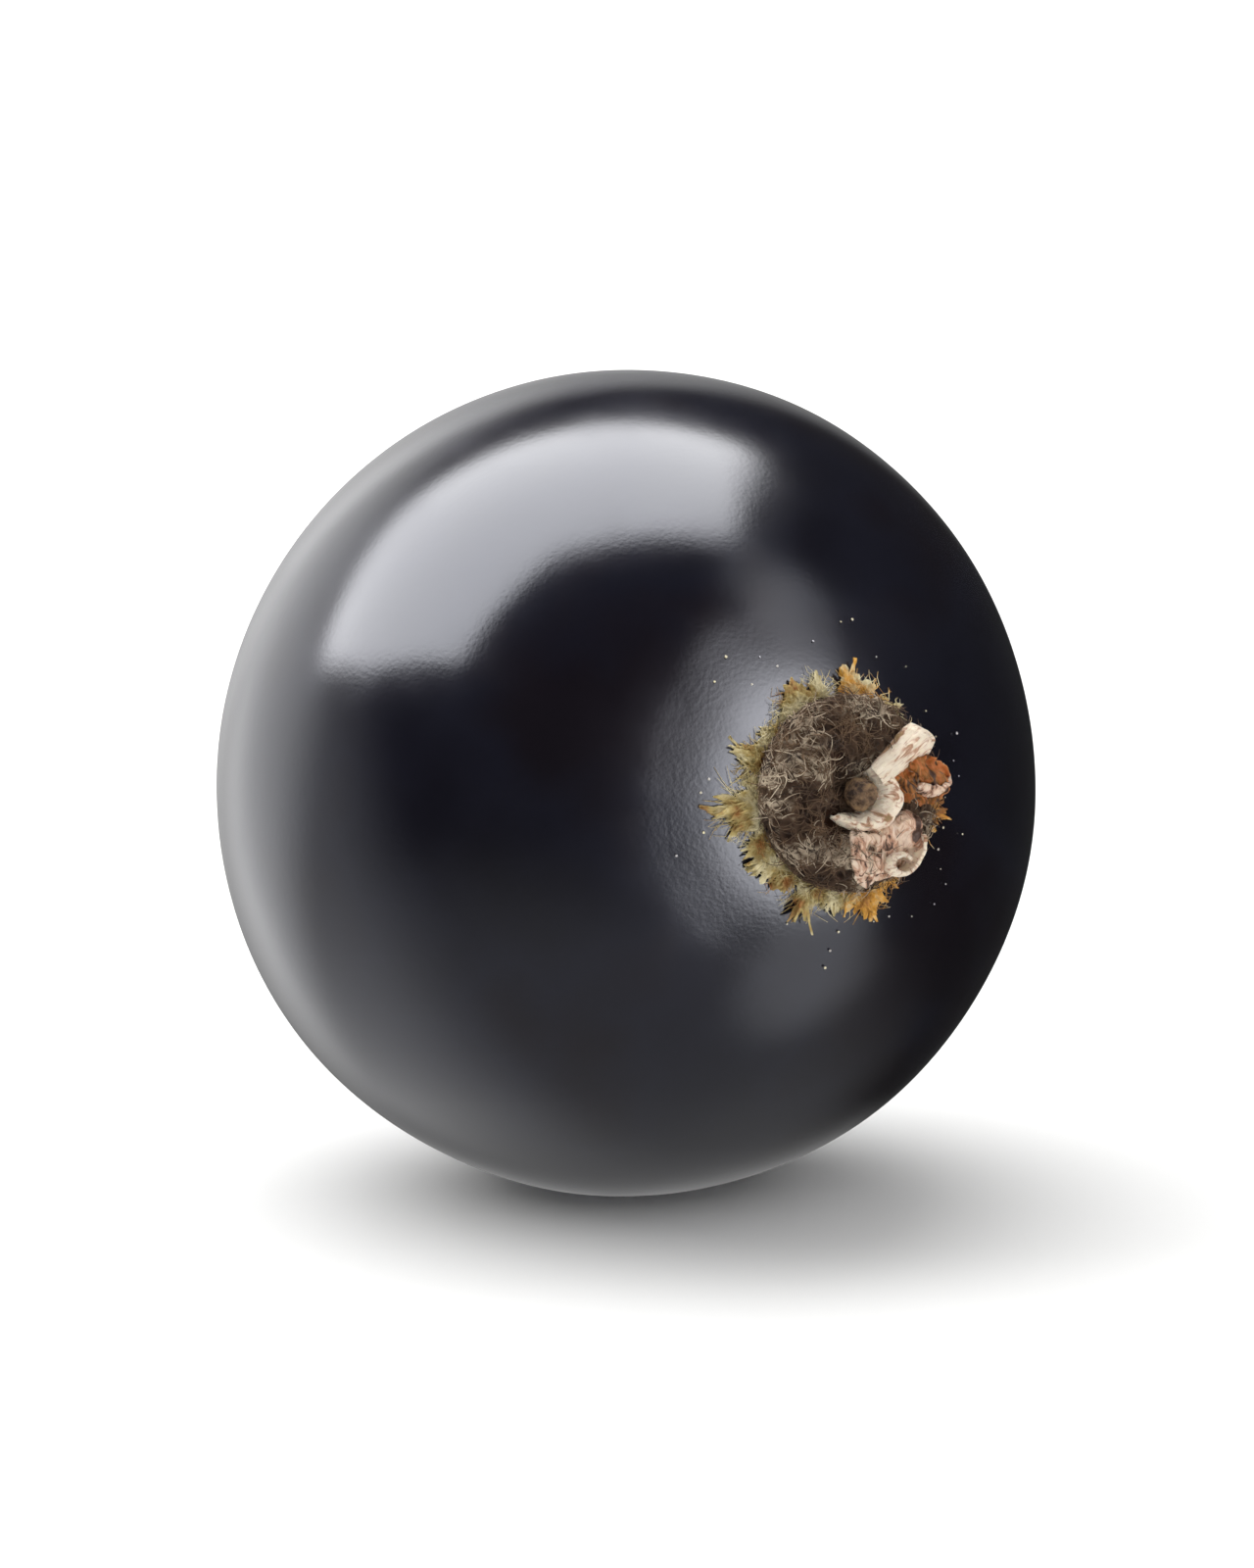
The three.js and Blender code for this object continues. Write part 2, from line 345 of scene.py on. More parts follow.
def per_mm(size_mm):
    """The scale of a noise whose patches are about size_mm across."""
    return 1 / (size_mm * MM)


def new_material(name):
    """An empty node material and its Object coordinates."""
    material = bpy.data.materials.new(name)
    material.use_nodes = True
    material.node_tree.nodes.clear()
    return material, add(material, "TexCoord").outputs["Object"]


def surface(material, inputs):
    """Ends a material with its Principled shader and its output."""
    shader = add(material, "BsdfPrincipled", inputs)
    add(material, "OutputMaterial", {"Surface": shader})
    return material


def waxy_fruit_skin(colours):
    """Ripe currant skin, a thin cuticle under natural wax: glossy, with a fine leathery grain
    that frays the edges of highlights, and nearly black pigment with warmer clouds in it."""
    material, where = new_material("waxy_fruit_skin")
    clouds = add(material, "TexNoise", {**CLOUDY, "Vector": where, "Scale": per_mm(4.5)})
    pigment = add(material, "ValToRGB", {"Fac": clouds}, [
        (0.35, colours.skin), (0.5, colours.bloom), (0.62, colours.skin_warm)])
    wax = add(material, "TexNoise", {**CLOUDY, "Vector": where, "Scale": per_mm(2.2)})
    roughness = add(material, "MapRange", {
        "Value": wax, "From Min": 0.35, "From Max": 0.65, "To Min": 0.15, "To Max": 0.22})
    leather = add(material, "TexNoise", {
        **CLOUDY, "Vector": where, "Scale": per_mm(0.9), "Detail": 2.0})
    coarse = add(material, "Bump", {"Height": leather, "Distance": 0.004 * MM, "Strength": 0.5})
    grain = add(material, "TexNoise", {
        **CLOUDY, "Vector": where, "Scale": per_mm(0.07), "Detail": 1.0})
    normal = add(material, "Bump", {
        "Height": grain, "Distance": 0.0016 * MM, "Strength": 0.6, "Normal": coarse})
    return surface(material, {
        "Base Color": pigment, "Roughness": roughness, "Normal": normal,
        "IOR": 1.45, "Specular Tint": colours.wax_tint})


def felt_with_painted_shade(colours):
    """Wool-like plant hairs matted into felt: dull, with painted shade darkening its hollows and
    creases, and paler on its crests.
    """
    material, where = new_material("felt_with_painted_shade")
    relief_and_painted_shade = add(material, "Attribute", attribute_name="relief_and_painted_shade").outputs["Fac"]
    # Painted shade: the felt's colour follows its height, darkest in the hollows and creases and
    # palest on the crests.
    height = add(material, "MapRange", {"Value": relief_and_painted_shade, "From Min": -0.16, "From Max": 0.12})
    colour = add(material, "ValToRGB", {"Fac": height}, [
        (0.2, colours.painted_shade_umber), (0.45, colours.felt_dark), (0.7, colours.felt),
        (0.95, colours.hair_pale)])
    strands = add(material, "TexNoise", {
        **CLOUDY, "Vector": where, "Scale": per_mm(0.05), "Distortion": 1.5})
    normal = add(material, "Bump", {"Height": strands, "Distance": 0.03 * MM, "Strength": 0.8})
    return surface(material, {
        "Base Color": colour, "Normal": normal, "Roughness": 0.95, "Specular IOR Level": 0.15})


def dry_plant_hair(name, dark, pale, size_mm):
    """Dry plant hair, hollow and air-filled: dull, and paler where it has bleached."""
    material, where = new_material(name)
    patches = add(material, "TexNoise", {
        "Vector": where, "Scale": per_mm(size_mm), "Detail": 4.0, "Roughness": 0.6})
    colour = add(material, "ValToRGB", {"Fac": patches}, [(0.36, dark), (0.64, pale)])
    return surface(material, {
        "Base Color": colour, "Roughness": 0.75, "Specular IOR Level": 0.25})


def golden_scale_tissue(name, dark, middle, pale):
    """Dry bud-scale tissue, thin and horny: paler and darker in patches."""
    material, where = new_material(name)
    patches = add(material, "TexNoise", {
        "Vector": where, "Scale": per_mm(0.4), "Detail": 4.0, "Roughness": 0.6})
    colour = add(material, "ValToRGB", {"Fac": patches}, [
        (0.36, dark), (0.48, middle), (0.62, pale)])
    fibres = add(material, "TexNoise", {**CLOUDY, "Vector": where, "Scale": per_mm(0.06)})
    normal = add(material, "Bump", {"Height": fibres, "Distance": 0.015 * MM, "Strength": 0.6})
    return surface(material, {
        "Base Color": colour, "Normal": normal, "Roughness": 0.6, "Specular IOR Level": 0.35})


def withered_sepal_tissue(name, ground, shade, crease_shade, crease_shade_share):
    """Withered sepal, dry and papery: a pale ground, with pinker and darker painted shade in the
    folds that its bump draws along the blade, pinker on some ridges too, and a little light let
    through its thinnest places."""
    # the last argument, 0 to 1, is how much of the blade the painted shade in its creases takes
    material, where = new_material(name)
    blade = add(material, "Attribute", attribute_name="blade").outputs["Vector"]
    stretched = add(material, "Mapping", {"Vector": blade, "Scale": (2.6, 0.7, 1.0)})
    veins = add(material, "TexNoise", {
        "Vector": stretched, "Scale": 1.0, "Detail": 4.0, "Roughness": 0.6, "Distortion": 0.8})
    # Painted shade: the noise that bumps the folds also colours them, and its low stops darken the
    # folds.
    tissue = add(material, "ValToRGB", {"Fac": veins}, [
        (0.28 + 0.12 * crease_shade_share, crease_shade), (0.36 + 0.12 * crease_shade_share, shade),
        (0.47 + 0.1 * crease_shade_share, ground), (0.64, ground), (0.74, shade)])
    folds = add(material, "Bump", {"Height": veins, "Distance": 0.09 * MM, "Strength": 0.9})
    fibres = add(material, "TexNoise", {**CLOUDY, "Vector": where, "Scale": per_mm(0.05)})
    normal = add(material, "Bump", {
        "Height": fibres, "Distance": 0.012 * MM, "Strength": 0.6, "Normal": folds})
    return surface(material, {
        "Base Color": tissue, "Normal": normal, "Roughness": 0.62, "Specular IOR Level": 0.3,
        "Subsurface Weight": 0.25, "Subsurface Scale": 1.0,
        "Subsurface Radius": (0.12 * MM, 0.07 * MM, 0.04 * MM)})


def dry_style_tissue(colours):
    """Dried style and scar tissue: dull tan with darker pits."""
    material, where = new_material("dry_style_tissue")
    pits = add(material, "TexNoise", {
        "Vector": where, "Scale": per_mm(0.16), "Detail": 4.0, "Roughness": 0.65})
    colour = add(material, "ValToRGB", {"Fac": pits}, [
        (0.4, colours.felt_dark), (0.55, colours.hair_brown), (0.72, colours.tan)])
    normal = add(material, "Bump", {"Height": pits, "Distance": 0.03 * MM, "Strength": 0.8})
    return surface(material, {
        "Base Color": colour, "Normal": normal, "Roughness": 0.8, "Specular IOR Level": 0.25})


def gland_resin(colours):
    """Resin of the skin's oil glands: small, clear, yellowish beads with a wet shine."""
    material, where = new_material("gland_resin")
    clouds = add(material, "TexNoise", {**CLOUDY, "Vector": where, "Scale": per_mm(0.8)})
    tint = add(material, "ValToRGB", {"Fac": clouds}, [
        (0.4, colours.straw), (0.6, colours.resin)])
    return surface(material, {"Base Color": tint, "Roughness": 0.2, "IOR": 1.5})


def matte_floor_paint(colours):
    """Matte white paint, sprayed on a smooth board: even and dull, with no mottle."""
    material, _ = new_material("matte_floor_paint")
    return surface(material, {
        "Base Color": colours.floor, "Roughness": 0.9, "Specular IOR Level": 0.1})


# ------------------------------------------------------------------ shapes
WAVE_SIZE = 3.2  # across one of the skin's long, low waves
REST_EDGE = 0.04 * MM  # how sharply the skin turns into the flat that it rests on


def skin_shape(fruit, undulation):
    """The skin, from a globe whose poles lie under the flower and the stalk scar."""
    bm = bmesh.new()
    bmesh.ops.create_uvsphere(bm, u_segments=288, v_segments=208, radius=1.0)
    bmesh.ops.rotate(bm, verts=bm.verts, matrix=Matrix.Rotation(math.pi / 2, 3, "X"))
    into_fruit = fruit.place.inverted()
    for vertex in bm.verts:
        direction = vertex.co.normalized()
        angle = math.acos(min(max(direction.y, -1.0), 1.0))
        reach = fruit.round_skin(angle) + fruit.swelling(direction)
        reach += undulation * ripple(direction * fruit.across, WAVE_SIZE)
        settled = fruit.place @ (direction * reach)
        settled.z = settle(settled.z)
        vertex.co = into_fruit @ settled
    return bm


def settle(height):
    """Heights below the floor come up to it, with a small round edge to the flat."""
    return 0.5 * (height + math.hypot(height, REST_EDGE))


# Hollows in the felt, as (right, up, radius, depth).
HOLLOWS = (
    (-0.45, -0.36, 0.38, 0.28),
    (-0.38, 0.5, 0.3, 0.12),
    (0.3, 0.95, 0.22, 0.08),
    (-0.95, 0.2, 0.25, 0.07),
)


def in_hollows(point):
    """How deep the hollows are at a point of the felt."""
    return sum(depth * hump(math.hypot(point.x - right, -point.z - up), radius)
               for right, up, radius, depth in HOLLOWS)


def crumpled(point):
    """Height of the felt's lumps and of its creased ridges."""
    ridges = 1 - 2 * abs(ripple(point, 0.19, 3.0))
    return 0.08 * ripple(point, 0.5) + 0.055 * ridges + 0.03 * ripple(point, 0.09, 5.0)


def cup_outline(fruit, flower):
    """Cross-section of the felted foot: a low cushion with a hollow middle."""
    radius = flower.cup_radius / MM
    height = flower.cup_height / MM
    hollow = flower.cup_hollow / MM
    top = fruit.skin_at(0)
    crest = top + height
    under = [(share * radius, fruit.skin_at(share * radius) - 0.02) for share in (0, 0.35, 0.7)]
    over = [
        (1.0 * radius, fruit.skin_at(radius) - 0.02),
        (1.04 * radius, top + 0.1 * height),
        (0.98 * radius, top + 0.45 * height),
        (0.84 * radius, top + 0.8 * height),
        (0.66 * radius, crest),
        (0.48 * radius, crest - 0.25 * hollow),
        (0.3 * radius, crest - 0.75 * hollow),
        (0.0, crest - hollow),
    ]
    return under + over


def in_order(bm):
    """The same closed shape with its faces in a fixed order. A spin lists them in another
    order on each run, and the random draws over them have to repeat."""
    bm.verts.index_update()
    rings = []
    for face in bm.faces:
        ring = [v.index for v in face.verts]
        first = ring.index(min(ring))
        rings.append(ring[first:] + ring[:first])
    ordered = bmesh.new()
    verts = [ordered.verts.new(v.co) for v in bm.verts]
    for ring in sorted(rings):
        ordered.faces.new([verts[index] for index in ring])
    bm.free()
    return ordered


def cup_surface(fruit, flower):
    """The felted foot before its hairs, lumpy and hollowed."""
    bm = bmesh.new()
    verts = [bm.verts.new((x, y, 0)) for x, y in cup_outline(fruit, flower)]
    edges = [bm.edges.new(pair) for pair in zip(verts, verts[1:])]
    bmesh.ops.spin(bm, geom=verts + edges, cent=(0, 0, 0), axis=(0, 1, 0), dvec=(0, 0, 0),
                   angle=2 * math.pi, steps=40, use_merge=True, use_duplicate=False)
    bmesh.ops.remove_doubles(bm, verts=bm.verts, dist=1e-4)
    bmesh.ops.recalc_face_normals(bm, faces=bm.faces)
    bm = subdivided(in_order(bm), 3)
    bm.normal_update()
    relief_and_painted_shade = bm.verts.layers.float.new("relief_and_painted_shade")
    base = fruit.skin_at(0)
    height = flower.cup_height / MM
    for vertex in bm.verts:
        risen = smoothstep(vertex.co.y, base, base + 0.5 * height)
        # This height also colours the felt, as painted shade in its low places.
        vertex[relief_and_painted_shade] = crumpled(vertex.co) - in_hollows(vertex.co)
        vertex.co += vertex.normal * vertex[relief_and_painted_shade] * risen
    return bm


def scattered(bm, chance, count):
    """Random (position, normal) pairs, even over the faces that can be seen."""
    bm.normal_update()
    faces = [f for f in bm.faces if f.normal.y > -0.2]
    picked = chance.choices(faces, weights=[f.calc_area() for f in faces], k=count)
    places = []
    for face in picked:
        corners = [v.co for v in face.verts]
        shares = [chance.random() for _ in corners]
        total = sum(shares)
        point = sum((c * s / total for c, s in zip(corners, shares)), Vector())
        places.append((point, face.normal.copy()))
    return places


def curly_hair(start, normal, heading, length, turn, lift, steps=5):
    """Points of a hair that leaves a surface, lies along it and curls."""
    across = normal.cross(heading).normalized()
    ahead = across.cross(normal).normalized()
    points = [start.copy()]
    step = length / steps
    for index in range(1, steps + 1):
        share = index / steps
        bend = turn * share
        flat = ahead * math.cos(bend) + across * math.sin(bend)
        rise = normal * lift * math.cos(math.pi * share)
        points.append(points[-1] + (flat + rise) * step)
    return points


def felt_hairs(cup, chance, count, length, lift, lowest):
    """Curly hairs on the felted foot, but none where its crumpled surface lies low."""
    paths = []
    for start, normal in scattered(cup, chance, count):
        if crumpled(start) - in_hollows(start) < lowest:
            continue
        heading = Vector([chance.gauss(0, 1) for _ in range(3)])
        reach = length * chance.uniform(0.6, 1.3)
        turn = chance.uniform(-3.4, 3.4)
        rise = lift * chance.uniform(0.4, 1.6)
        paths.append(curly_hair(start - normal * 0.01, normal, heading, reach, turn, rise))
    return paths


# Golden tufts round the foot, as (degrees from the right towards up, reach, half-spread in
# degrees, share of the hairs).
PALE_TUFTS = (
    (20, 0.3, 12, 0.5), (46, 0.4, 8, 0.6), (95, 0.62, 3, 0.4), (112, 0.5, 14, 1.4),
    (137, 0.3, 8, 0.5), (154, 0.58, 8, 0.9), (168, 0.3, 5, 0.3), (182, 0.88, 11, 1.7),
    (203, 0.5, 7, 0.7), (215, 0.6, 9, 1.1), (228, 0.5, 6, 0.6), (246, 0.7, 8, 1.1),
    (264, 0.48, 8, 0.9), (325, 0.35, 9, 0.5),
)
WARM_TUFTS = (
    (62, 0.6, 6, 0.6), (74, 0.62, 8, 1.0), (273, 0.5, 6, 0.6), (285, 0.78, 9, 1.6),
    (301, 0.5, 8, 0.9), (345, 0.8, 13, 1.3),
)


TUFT_STEPS = 5  # straight stretches along a tuft's hair


def tuft_place(chance, tufts):
    """An angle round the foot and the reach there, in one of the tufts."""
    middle, reach, spread, _ = chance.choices(tufts, weights=[t[3] for t in tufts])[0]
    away = chance.triangular(-1, 1, 0)
    return math.radians(middle + spread * away), reach * (1 - 0.65 * abs(away))


def tuft_hairs(fruit, flower, chance, tufts, count):
    """Golden hairs that fan out from under the foot, crooked, and lie on the skin."""
    rim = flower.cup_radius / MM
    paths = []
    for _ in range(count):
        round_angle, reach = tuft_place(chance, tufts)
        reach *= chance.uniform(0.3, 0.9)
        start = rim * chance.uniform(0.92, 1.04)
        sweep = chance.gauss(0, 0.12)
        lift = chance.uniform(0.02, 0.16)
        crook = chance.gauss(0, 0.05)
        path = []
        for index in range(TUFT_STEPS + 1):
            share = index / TUFT_STEPS
            wander = round_angle + sweep * share + crook * math.sin(9 * share + 4 * sweep)
            rise = lift * math.sin(2.4 * share) + 0.01
            path.append(fruit.on_skin(start + reach * share, wander, rise))
        paths.append(path)
    return paths


def flakes_shape(fruit, flower, chance, tufts, count):
    """Thin torn scales round the foot, each a small crumpled blade."""
    bm = bmesh.new()
    rim = flower.cup_radius / MM
    for _ in range(count):
        round_angle, reach = tuft_place(chance, tufts)
        length = reach * chance.uniform(0.45, 1.0)
        width = chance.uniform(0.03, 0.1)
        start = rim * chance.uniform(0.94, 1.03)
        tilt = chance.uniform(0.0, 0.35)
        twist = chance.gauss(0, 0.8)
        slew = chance.gauss(0, 0.4)
        seed = chance.uniform(0, 50)
        blade = bmesh.ops.create_grid(bm, x_segments=4, y_segments=9, size=1.0)["verts"]
        side = turned(round_angle + math.pi / 2)
        for vertex in blade:
            across, along = vertex.co.x, (vertex.co.y + 1) / 2
            taper = math.sin(math.pi * (0.25 + 0.72 * along)) ** 0.8
            ragged = 1 + 0.9 * ripple((along * 2, across, 0), 0.3, seed)
            offset = width * across * taper * ragged
            distance = start + length * along
            lift = 0.03 + tilt * length * along**1.5 + offset * math.sin(twist * along)
            lift += 0.06 * ripple((along, across, 1), 0.35, seed)
            point = fruit.on_skin(distance, round_angle, max(lift, 0.012))
            vertex.co = point + side * (offset + slew * length * along**2 * 0.5)
    bmesh.ops.recalc_face_normals(bm, faces=bm.faces)
    bmesh.ops.solidify(bm, geom=bm.faces[:], thickness=0.014)
    return bm


# Torn sheets as rows of (right, up, height above the skin), each row running across the sheet.
LOWER_SEPAL = (
    ((-0.28, -0.5, 0.44), (0.0, -0.56, 0.5), (0.34, -0.5, 0.54), (0.7, -0.26, 0.5)),
    ((-0.36, -0.62, 0.66), (0.04, -0.66, 0.56), (0.36, -0.62, 0.76), (0.78, -0.36, 0.68)),
    ((-0.34, -0.8, 0.72), (0.0, -0.86, 0.54), (0.34, -0.8, 0.66), (0.82, -0.56, 0.8)),
    ((-0.36, -1.0, 0.62), (0.04, -1.04, 0.7), (0.32, -1.0, 0.54), (0.84, -0.78, 0.72)),
    ((-0.3, -1.2, 0.64), (0.02, -1.24, 0.5), (0.34, -1.14, 0.34), (0.8, -1.0, 0.6)),
    ((-0.2, -1.36, 0.42), (0.06, -1.38, 0.36), (0.3, -1.3, 0.4), (0.68, -1.2, 0.44)),
)
LOWER_LOOP = (
    ((0.84, -0.7, 0.84), (0.82, -0.94, 0.84), (0.7, -1.14, 0.82), (0.5, -1.26, 0.8),
     (0.3, -1.22, 0.78), (0.24, -1.06, 0.78), (0.34, -0.94, 0.78), (0.5, -0.94, 0.8),
     (0.6, -1.04, 0.8)),
    ((0.9, -0.7, 0.74), (0.88, -0.96, 0.7), (0.74, -1.2, 0.68), (0.5, -1.33, 0.66),
     (0.25, -1.27, 0.66), (0.17, -1.05, 0.66), (0.31, -0.88, 0.66), (0.52, -0.88, 0.68),
     (0.66, -1.02, 0.7)),
    ((0.84, -0.7, 0.56), (0.82, -0.94, 0.54), (0.7, -1.14, 0.5), (0.5, -1.26, 0.46),
     (0.3, -1.22, 0.44), (0.24, -1.06, 0.46), (0.34, -0.94, 0.48), (0.5, -0.94, 0.5),
     (0.6, -1.04, 0.5)),
)
UPPER_SEPAL = (
    ((0.32, 0.08, 0.5), (0.25, 0.19, 0.64), (0.19, 0.28, 0.64), (0.14, 0.36, 0.5)),
    ((0.55, 0.22, 0.56), (0.48, 0.33, 0.76), (0.41, 0.43, 0.76), (0.36, 0.5, 0.54)),
    ((0.79, 0.36, 0.56), (0.72, 0.48, 0.8), (0.64, 0.6, 0.8), (0.58, 0.68, 0.54)),
    ((1.03, 0.47, 0.54), (0.96, 0.62, 0.82), (0.88, 0.76, 0.82), (0.8, 0.86, 0.52)),
    ((1.2, 0.54, 0.6), (1.14, 0.7, 0.86), (1.04, 0.86, 0.86), (0.95, 0.96, 0.58)),
    ((1.14, 0.58, 0.76), (1.08, 0.7, 0.93), (1.0, 0.82, 0.93), (0.94, 0.9, 0.76)),
)
CREST = (
    ((0.12, 0.3, 0.3), (0.24, 0.12, 0.3), (0.24, -0.1, 0.3), (0.08, -0.24, 0.3),
     (-0.14, -0.28, 0.28), (-0.34, -0.22, 0.26)),
    ((0.15, 0.34, 0.5), (0.3, 0.14, 0.56), (0.3, -0.13, 0.6), (0.12, -0.3, 0.6),
     (-0.14, -0.34, 0.52), (-0.38, -0.24, 0.42)),
    ((0.2, 0.4, 0.62), (0.42, 0.17, 0.72), (0.46, -0.17, 0.78), (0.2, -0.42, 0.74),
     (-0.14, -0.44, 0.62), (-0.46, -0.26, 0.46)),
    ((0.24, 0.44, 0.58), (0.52, 0.18, 0.72), (0.58, -0.22, 0.8), (0.26, -0.52, 0.74),
     (-0.16, -0.52, 0.58), (-0.54, -0.28, 0.42)),
    ((0.26, 0.46, 0.42), (0.58, 0.18, 0.6), (0.64, -0.26, 0.66), (0.28, -0.6, 0.6),
     (-0.18, -0.56, 0.44), (-0.54, -0.31, 0.34)),
)
RUST_PETALS = (
    ((0.42, 0.22, 0.5), (0.62, 0.36, 0.78), (0.84, 0.44, 0.6), (1.1, 0.44, 0.82),
     (1.32, 0.36, 0.5)),
    ((0.46, 0.12, 0.8), (0.66, 0.22, 0.48), (0.88, 0.26, 0.9), (1.12, 0.24, 0.52),
     (1.4, 0.2, 0.74)),
    ((0.5, 0.02, 0.5), (0.7, 0.06, 0.84), (0.92, 0.06, 0.46), (1.16, 0.04, 0.82),
     (1.46, 0.04, 0.46)),
    ((0.56, -0.1, 0.74), (0.74, -0.1, 0.5), (0.96, -0.14, 0.8), (1.18, -0.16, 0.46),
     (1.42, -0.14, 0.6)),
    ((0.6, -0.22, 0.5), (0.8, -0.24, 0.62), (0.98, -0.3, 0.48), (1.16, -0.3, 0.56),
     (1.34, -0.28, 0.4)),
)
PETAL_EDGE = (
    ((0.84, 0.1, 0.8), (1.02, -0.06, 0.9), (1.24, -0.04, 0.84), (1.44, 0.06, 0.7),
     (1.4, 0.22, 0.6)),
    ((0.82, 0.0, 0.68), (1.04, -0.16, 0.78), (1.32, -0.14, 0.72), (1.56, 0.04, 0.58),
     (1.46, 0.3, 0.5)),
    ((0.86, -0.04, 0.54), (1.06, -0.2, 0.6), (1.34, -0.18, 0.56), (1.56, 0.02, 0.44),
     (1.46, 0.26, 0.4)),
)


def sheet_shape(rows, fruit, thickness, crumple, seed):
    """A withered sheet through rows of points: smoothed, crumpled and made thick."""
    bm = bmesh.new()
    blade = bm.verts.layers.float_vector.new("blade")
    level = fruit.skin_at(0)
    grid = []
    for along, row in enumerate(rows):
        line = [bm.verts.new((right, level + height, -up)) for right, up, height in row]
        for across, vertex in enumerate(line):
            vertex[blade] = Vector((across, along, seed))
        grid.append(line)
    for near, far in zip(grid, grid[1:]):
        for corners in zip(near, near[1:], far[1:], far):
            bm.faces.new(corners)
    bm = subdivided(bm, 4)
    bmesh.ops.recalc_face_normals(bm, faces=bm.faces)
    push_out(bm, lambda point: crumple * (
        ripple(point, 0.2, seed) + 0.6 * ripple(point, 0.09, seed + 3)))
    bmesh.ops.solidify(bm, geom=bm.faces[:], thickness=thickness)
    return bm


STYLE_RADIUS = 0.25
STYLE_OFFSET = -0.02  # how far to the right of the flower's axis it stands


def style_shape(fruit, flower):
    """The round, pitted end of the style on its short neck."""
    foot = fruit.skin_at(0) + (flower.cup_height - flower.cup_hollow) / MM
    bm = bmesh.new()
    bmesh.ops.create_uvsphere(bm, u_segments=56, v_segments=40, radius=STYLE_RADIUS)
    for vertex in bm.verts:
        direction = vertex.co.normalized()
        vertex.co *= 1 + 0.14 * ripple(direction, 0.6, 1.0) + 0.12 * ripple(direction, 0.25, 5.0)
        vertex.co.z -= 0.05 * hump(math.hypot(vertex.co.x, vertex.co.y), 0.12) * (direction.z > 0)
    bm.transform(Matrix.Translation((STYLE_OFFSET, foot + 0.27, 0))
                 @ Matrix.Rotation(-math.pi / 2, 4, "X"))
    neck = (Matrix.Translation((STYLE_OFFSET, foot + 0.02, 0))
            @ Matrix.Rotation(math.pi / 2, 4, "X"))
    bmesh.ops.create_cone(bm, cap_ends=True, segments=20, radius1=0.17, radius2=0.11, depth=0.3,
                          matrix=neck)
    return bm


# Where the beads of resin begin, counted from the flower's axis, and how far out they go.
GLANDS_FROM = 2.05
GLANDS_SPREAD = 0.6


def bead_shape(fruit, chance, count):
    """Flat round beads of resin on the skin, thickest just outside the golden scales."""
    bm = bmesh.new()
    for _ in range(count):
        distance = GLANDS_FROM + GLANDS_SPREAD * chance.random() ** 1.5
        point = fruit.on_skin(distance, chance.uniform(0, 2 * math.pi))
        size = chance.uniform(0.01, 0.024)
        outward = point.normalized()
        place = (
            Matrix.Translation(point + outward * size * 0.25)
            @ outward.to_track_quat("Z", "Y").to_matrix().to_4x4()
            @ Matrix.Diagonal((1, 1, 0.65, 1))
        )
        bmesh.ops.create_icosphere(bm, subdivisions=2, radius=size, matrix=place)
    return bm


SCAR_RADIUS = 0.55
SCAR_FLATNESS = 0.12  # its thickness as a share of its radius


def scar_shape(fruit):
    """The torn round end of the stalk, left in the dimple at the back."""
    bm = bmesh.new()
    bmesh.ops.create_uvsphere(bm, u_segments=48, v_segments=24, radius=SCAR_RADIUS)
    level = -fruit.round_skin(math.pi)
    for vertex in bm.verts:
        distance = math.hypot(vertex.co.x, vertex.co.y) / SCAR_RADIUS
        rim = 0.06 * hump(abs(distance - 0.75), 0.3)
        pith = 0.05 * ripple(vertex.co, 0.16, 2.0) + 0.03 * ripple(vertex.co, 0.07, 6.0)
        vertex.co.x *= 1 + 0.12 * ripple(vertex.co, 0.4, 8.0)
        vertex.co.z = SCAR_FLATNESS * vertex.co.z + (rim + pith) * (vertex.co.z > 0)
    bm.transform(Matrix.Translation((0, level - 0.02, 0)) @ Matrix.Rotation(math.pi / 2, 4, "X"))
    return bm


# ------------------------------------------------------------------ operators, piece by piece
class CURRANT_OT_skin(bpy.types.Operator):
    """Build the berry's glossy skin"""

    bl_idname = "currant.skin"
    bl_label = "Berry skin"

    def execute(self, context):
        fruit, _, colours = settings(context)
        undulation = context.scene.currant_fruit.undulation / MM
        bm = skin_shape(fruit, undulation)
        finish_piece(bm, "berry_skin", fruit, waxy_fruit_skin(colours), "skin", "berry")
        return {"FINISHED"}


class CURRANT_OT_felt(bpy.types.Operator):
    """Build the felted foot of the flower with its hairs"""

    bl_idname = "currant.felt"
    bl_label = "Felted foot"

    def execute(self, context):
        fruit, flower, colours = settings(context)
        chance = random.Random(FELT_SEED)
        width = flower.hair_width / MM
        cup = cup_surface(fruit, flower)
        brown = felt_hairs(cup, chance, count=int(flower.hairs * 0.6),
                           length=0.36, lift=0.22, lowest=-0.14)
        pale = felt_hairs(cup, chance, count=flower.hairs,
                          length=0.3, lift=0.32, lowest=0.05)
        finish_piece(cup, "felted_foot", fruit, felt_with_painted_shade(colours), "felt", "flower_cup")
        for tone, hairs, thickness, dark, light, size_mm in (
                ("brown", brown, width, colours.felt_dark, colours.hair_brown, 0.3),
                ("pale", pale, width * 1.15, colours.hair_brown, colours.hair_pale, 0.4)):
            finish_piece(hairs_from(hairs, thickness), f"felt_hairs_{tone}", fruit,
                         dry_plant_hair(f"{tone}_plant_hair", dark, light, size_mm), "felt")
        return {"FINISHED"}


